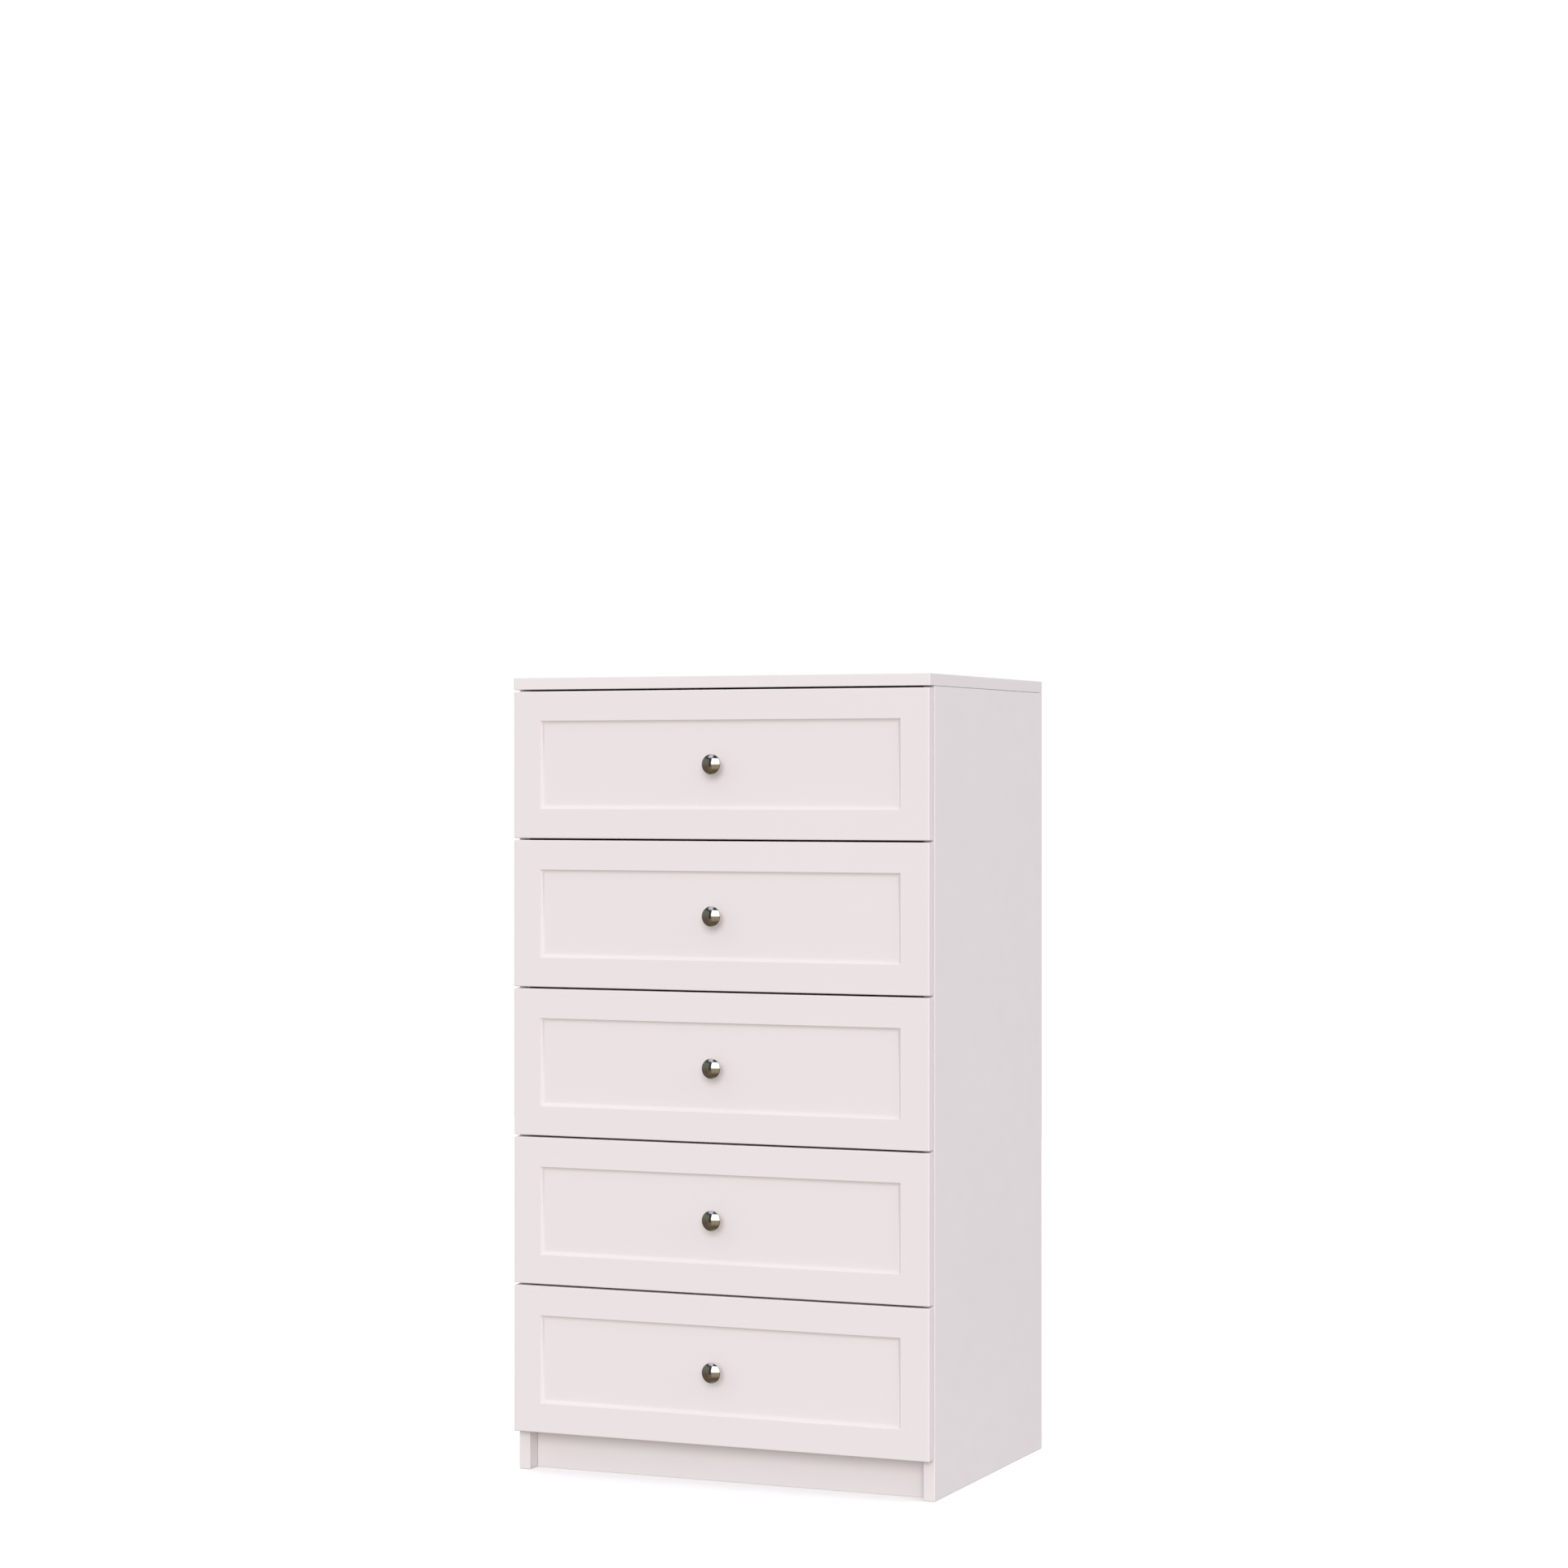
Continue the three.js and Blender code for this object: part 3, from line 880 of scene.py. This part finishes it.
def boxSide(side):
    inner, outer = boxSideLow.x, boxSideHigh.x
    deep = sheetHigh.x + grooveSlack
    groove = (sheetLow.z - grooveSlack, sheetHigh.z + grooveSlack)
    outline = [(outer, boxSideLow.z), (outer, boxSideHigh.z), (inner, boxSideHigh.z), (inner, groove[1]),
               (deep, groove[1]), (deep, groove[0]), (inner, groove[0]), (inner, boxSideLow.z)]
    mesh = prismMesh([(side * x, z) for x, z in outline], "y", boxSideLow.y, boxSideHigh.y)
    mesh = carve(mesh, [camPocket(place, axis) for place, axis in boxCams(side)])

    def choose(normal, centre):
        if abs(normal.x) > 0.5:
            return 0
        return 1 if normal.z > 0.5 else 2

    paintFaces(mesh, boxFaces, choose)
    return mesh


def boxBack():
    mesh = boxMesh(boxBackLow, boxBackHigh)

    def choose(normal, centre):
        if abs(normal.y) > 0.5:
            return 0
        return 1 if normal.z > 0.5 else 2

    paintFaces(mesh, boxFaces, choose)
    return mesh


def boxBottom():
    mesh = boxMesh(sheetLow, sheetHigh)
    paintFaces(mesh, [finishes["bareHardboard"], finishes["printedWhite"]],
               lambda normal, centre: 1 if normal.z > 0.5 else 0)
    return mesh


topSides = {side: boxSide(side) for _, side in hands}
topBack = boxBack()
topBottom = boxBottom()
for number, drop in enumerate(fromTop, 1):
    body = f"drawer_{number}"
    down = Matrix.Translation(drop)
    for hand, side in hands:
        piece(f"boxSide_{number}_{hand}", placed(topSides[side], down), body,
              [f"{body}_{hand}_side"], boxLook["edgeRound"], 2)
    piece(f"boxBack_{number}", placed(topBack, down), body, [f"{body}_back"],
          boxLook["edgeRound"], 2)
    piece(f"boxBottom_{number}", placed(topBottom, down), body,
          [f"{body}_bottom"], boardLook["sheetRound"], 1)
print("drawer boxes made")


# runners

runnerShape = {"steel": 1.2 * mm, "wallGap": 0.3 * mm, "upperLip": 6.5 * mm, "trackEdge": 3.2 * mm,
               "railFoot": 6.5 * mm, "railShelfIn": 3.0 * mm, "outerBend": 1.5 * mm, "edge": 0.3 * mm,
               "rollerMiddle": 5.4 * mm, "rollerHeight": 10 * mm, "rollerEnd": 12 * mm,
               "holeSpacing": 32 * mm, "holeCount": 11, "holeRadius": 2.2 * mm,
               "channelHole": 34 * mm, "railHole": 30 * mm, "railHoleHeight": 13.5 * mm,
               "punchDepth": 4 * mm, "screwHoles": (0, 5, 10)}
lowest = channelLow.z  # the top drawer's channel


def rolledSection(outline, radii, side, low, high):
    # outline is [distance from the side panel, height above the channel's lowest edge]
    rounded = roundLoop(outline, radii)
    return prismMesh([(side * (wallX - a), lowest + b) for a, b in rounded], "y", low, high)


def channelMesh(side, shape):
    t, g, lip = shape["steel"], shape["wallGap"], shape["upperLip"]
    track, up = wallX - channelLow.x, shape["trackEdge"]
    h = channelHigh.z - channelLow.z
    outline = [(g, 0), (track, 0), (track, up), (track - t, up), (track - t, t), (g + t, t),
               (g + t, h - t), (lip, h - t), (lip, h), (g, h)]
    bend, edge = shape["outerBend"], shape["edge"]
    radii = [bend, bend, edge, edge, edge, edge, edge, edge, edge, bend]
    mesh = rolledSection(outline, radii, side, channelLow.y, channelHigh.y)
    first = (side * (wallX - g - t / 2), channelLow.y + shape["channelHole"],
             lowest + shape["rollerHeight"])
    return punched(mesh, first, shape)


def railMesh(side, shape):
    t, foot, shelfIn = shape["steel"], shape["railFoot"], shape["railShelfIn"]
    webIn = wallX - boxSideHigh.x - shape["wallGap"]
    footEnd, shelf = wallX - railLow.x, railHigh.z - lowest
    outline = [(webIn - t, foot), (footEnd, foot), (footEnd, foot + t), (webIn, foot + t),
               (webIn, shelf), (shelfIn, shelf), (shelfIn, shelf - t), (webIn - t, shelf - t)]
    bend, edge = shape["outerBend"], shape["edge"]
    radii = [bend, edge, edge, edge, bend, edge, edge, edge]
    mesh = rolledSection(outline, radii, side, railLow.y, railHigh.y)
    first = (side * (wallX - webIn + t / 2), railLow.y + shape["railHole"],
             lowest + shape["railHoleHeight"])
    return punched(mesh, first, shape)


def punched(mesh, first, shape):
    made = runTree(mesh, punchedSection, {
        "First hole": first, "Spacing": shape["holeSpacing"], "Count": shape["holeCount"],
        "Hole radius": shape["holeRadius"], "Slot": 1.0, "Sheet": shape["punchDepth"],
        "Finish": finishes["coatedSteel"]})
    made.set_sharp_from_angle(angle=math.radians(40))
    return made


def screwYs(start, shape):
    return [start + hole * shape["holeSpacing"] for hole in shape["screwHoles"]]


def channelScrews(side, drop, shape):
    x = side * (wallX - shape["wallGap"] - shape["steel"])
    return [(Vector((x, y, lowest + shape["rollerHeight"])) + drop, (-side, 0, 0))
            for y in screwYs(channelLow.y + shape["channelHole"], shape)]


def railScrews(side, drop, shape):
    x = side * (boxSideHigh.x + shape["wallGap"] + shape["steel"])
    return [(Vector((x, y, lowest + shape["railHoleHeight"])) + drop, (side, 0, 0))
            for y in screwYs(railLow.y + shape["railHole"], shape)]


def rollerSpot(side, y, drop, facing, shape):
    x = side * (wallX - shape["rollerMiddle"])
    return Vector((x, y, lowest + shape["rollerHeight"])) + drop, (facing * side, 0, 0)


frontAxleY = channelLow.y + runnerShape["rollerEnd"]
rearAxleY = railHigh.y - runnerShape["rollerEnd"]
channelRollers = []
channelScrewSpots = []
for hand, side in hands:
    channel = channelMesh(side, runnerShape)
    rail = railMesh(side, runnerShape)
    for number, drop in enumerate(fromTop, 1):
        down = Matrix.Translation(drop)
        piece(f"channel_{number}_{hand}", placed(channel, down), "carcass",
              [f"carcass_runner_{number}_{hand}"])
        piece(f"rail_{number}_{hand}", placed(rail, down), f"drawer_{number}",
              [f"drawer_{number}_{hand}_runner"])
        channelRollers.append(rollerSpot(side, frontAxleY, drop, -1, runnerShape))
        channelScrewSpots += channelScrews(side, drop, runnerShape)

piece("channelScrews", standOn(templates["flatScrew"], channelScrewSpots, finishes["zinc"]), "carcass")
piece("channelRollers", standOn(templates["roller"], channelRollers, finishes["nylon"]), "carcass")
piece("channelAxles", standOn(templates["channelAxle"], channelRollers, finishes["zinc"]), "carcass")

for number, drop in enumerate(fromTop, 1):
    body = f"drawer_{number}"
    rollers = [rollerSpot(side, rearAxleY, drop, 1, runnerShape) for _, side in hands]
    screws = [spot for _, side in hands for spot in railScrews(side, drop, runnerShape)]
    for name, kind, spots, finish in (("railRollers", "roller", rollers, "nylon"),
                                      ("railAxles", "railAxle", rollers, "zinc"),
                                      ("railScrews", "flatScrew", screws, "zinc")):
        piece(f"{name}_{number}", standOn(templates[kind], spots, finishes[finish]), body)
print("runners made")


# fixings of the drawer boxes

def boxScrews(drop):
    # through each side into the back, up through the bottom into the back, and one for the knob
    y = (boxBackLow.y + boxBackHigh.y) / 2
    inset = boxLook["bottomScrewInset"]
    spots = [((side * boxSideHigh.x, y, boxSideLow.z + up), (side, 0, 0))
             for _, side in hands for up in boxLook["rearScrews"]]
    spots += [((x, y, sheetLow.z), (0, 0, -1)) for x in (boxBackLow.x + inset, 0, boxBackHigh.x - inset)]
    spots.append(((0, frontHigh.y, knobZ), (0, 1, 0)))
    return [(Vector(place) + drop, direction) for place, direction in spots]


for number, drop in enumerate(fromTop, 1):
    body = f"drawer_{number}"
    cams = [camSpot(*c) for _, side in hands for c in boxCams(side)]
    cams = [(place + drop, direction) for place, direction in cams]
    piece(f"boxCams_{number}", standOn(templates["cam"], cams, finishes["zinc"], seed=number), body)
    piece(f"boxScrews_{number}", standOn(templates["panScrew"], boxScrews(drop), finishes["zinc"]), body)
for template in templates.values():
    bpy.data.objects.remove(template)
print("fixings made")


# floor and light

studio = {"floorSize": 9.0, "floorColour": (0.92, 0.92, 0.92), "floorGlow": 0.2,
          "key": {"turn": 20, "rise": 17, "softness": 32, "strength": 1.64,
                  "colour": (1.0, 0.995, 0.997)},
          "side": {"turn": 92, "rise": 25, "softness": 50, "strength": 0.87,
                   "colour": (0.965, 0.97, 1.095)},
          "rear": {"turn": 205, "rise": 35, "softness": 50, "strength": 0.9,
                   "colour": (1.0, 1.0, 1.0)},
          "skyBend": 2.2, "lowLight": (0.415, 0.413, 0.37), "highLight": (1.02, 1.03, 1.12),
          "backdrop": (1.02, 1.02, 1.02), "floorDrop": 0.2 * mm}


def softLight(name, place):
    data = bpy.data.lights.new(name, "SUN")
    data.angle = math.radians(place["softness"])
    data.energy = place["strength"]
    data.color = place["colour"]
    light = bpy.data.objects.new(name, data)
    turn, rise = math.radians(place["turn"]), math.radians(place["rise"])
    away = Vector((math.sin(turn) * math.cos(rise), -math.cos(turn) * math.cos(rise), math.sin(rise)))
    light.location = Vector((0, 0, 0.5)) + away * 4
    light.rotation_euler = away.to_track_quat("Z", "Y").to_euler()
    light.visible_glossy = False
    scene.collection.objects.link(light)


for name in ("key", "side", "rear"):
    softLight(name + "Light", studio[name])


# the dim room that polished metal mirrors: each patch lies over the ones before it, and each of
# its sides is a soft edge, from outside to inside, in radians round the room or in height
windowSides = {"left": (-0.30, -0.16), "right": (0.86, 0.68)}
roomBase = {"fade": (-0.35, 0.25), "low": (0.12, 0.095, 0.07), "high": (0.17, 0.175, 0.15)}
roomPatches = {
    "ceiling": {"bottom": (0.40, 0.60), "colour": (0.045, 0.05, 0.06)},
    "paleGround": {"top": (-0.80, -0.95), "colour": (0.26, 0.25, 0.23)},
    "darkSide": {"left": (0.80, 0.95), "right": (2.6, 2.4), "colour": (0.07, 0.07, 0.07)},
    "post": {"left": (-0.62, -0.42), "right": (-0.16, -0.30), "bottom": (-0.35, -0.15),
             "colour": (0.04, 0.04, 0.038)},
    "floor": {"left": (-0.85, -0.55), "right": (-0.1, -0.35), "bottom": (-0.75, -0.5),
              "top": (-0.12, -0.35), "colour": (0.20, 0.13, 0.085)},
    "wall": {**windowSides, "bottom": (-0.66, -0.36), "top": (0.08, -0.05),
             "colour": (0.34, 0.28, 0.20)},
    "lamp": {"left": (-1.15, -0.9), "right": (-0.1, -0.3), "bottom": (0.58, 0.72),
             "top": (0.95, 0.88), "colour": (0.66, 0.70, 0.86)},
    "window": {**windowSides, "bottom": (-0.05, 0.08), "top": (0.72, 0.58),
               "colour": (1.7, 1.7, 1.7)},
}


def softEdge(tree, value, start, end):
    smooth = nodeIn(tree, "ShaderNodeMapRange", interpolation_type="SMOOTHSTEP")
    setInputs(smooth, From_Min=start, From_Max=end)
    linkUp(tree, (value, smooth.inputs["Value"]))
    return smooth.outputs["Result"]


def calculate(tree, operation, first, second):
    # each of the two is a socket or a number
    node = nodeIn(tree, "ShaderNodeMath", operation=operation)
    for socket, value in zip(node.inputs, (first, second)):
        if isinstance(value, (int, float)):
            socket.default_value = value
        else:
            linkUp(tree, (value, socket))
    return node.outputs[0]


def patchMask(tree, turned, height, patch):
    mask = 1.0
    for edge, value in (("left", turned), ("right", turned), ("bottom", height), ("top", height)):
        if edge in patch:
            mask = calculate(tree, "MULTIPLY", mask, softEdge(tree, value, *patch[edge]))
    return mask


def mirroredRoom(tree, turned, height):
    room = mixColours(tree, softEdge(tree, height, *roomBase["fade"]), roomBase["low"], roomBase["high"])
    for patch in roomPatches.values():
        room = mixColours(tree, patchMask(tree, turned, height, patch), room, patch["colour"])
    return room


def studioWorld():
    # white round the view, soft light that fades downwards, and the room for polished metal
    world = bpy.data.worlds.new("studio")
    scene.world = world
    world.use_nodes = True
    tree = world.node_tree
    tree.nodes.clear()
    out = nodeIn(tree, "ShaderNodeOutputWorld")
    rays = nodeIn(tree, "ShaderNodeLightPath")
    direction = nodeIn(tree, "ShaderNodeTexCoord")
    parts = nodeIn(tree, "ShaderNodeSeparateXYZ")
    linkUp(tree, (direction.outputs["Generated"], parts.inputs["Vector"]))
    height = parts.outputs["Z"]
    toFront = calculate(tree, "MULTIPLY", parts.outputs["Y"], -1)
    turned = calculate(tree, "ARCTAN2", parts.outputs["X"], toFront)
    even = nodeIn(tree, "ShaderNodeMapRange")
    setInputs(even, From_Min=-1.0, From_Max=1.0)
    linkUp(tree, (height, even.inputs["Value"]))
    bent = calculate(tree, "POWER", even.outputs["Result"], studio["skyBend"])
    soft = mixColours(tree, bent, studio["lowLight"], studio["highLight"])
    seen = mixColours(tree, rays.outputs["Is Glossy Ray"], soft, mirroredRoom(tree, turned, height))
    seen = mixColours(tree, rays.outputs["Is Camera Ray"], seen, studio["backdrop"])
    shade = nodeIn(tree, "ShaderNodeBackground")
    linkUp(tree, (seen, shade.inputs["Color"]), (shade.outputs[0], out.inputs["Surface"]))


def floorPlane():
    material, _, shader, _ = startMaterial("paleFloor", studio["floorColour"], 0.9)
    shader.inputs["Emission Color"].default_value = (1, 1, 1, 1)
    shader.inputs["Emission Strength"].default_value = studio["floorGlow"]
    half = studio["floorSize"] / 2
    mesh = bpy.data.meshes.new("floor")
    signs = ((-1, -1), (1, -1), (1, 1), (-1, 1))
    corners = [(x * half, y * half, -studio["floorDrop"]) for x, y in signs]
    mesh.from_pydata(corners, [], [(0, 1, 2, 3)])
    mesh.materials.append(material)
    floor = bpy.data.objects.new("floor", mesh)
    floor.visible_glossy = False
    floor.visible_diffuse = False
    scene.collection.objects.link(floor)


studioWorld()
floorPlane()
scene.view_settings.view_transform = "Standard"
scene.view_settings.look = "None"
print("studio made")
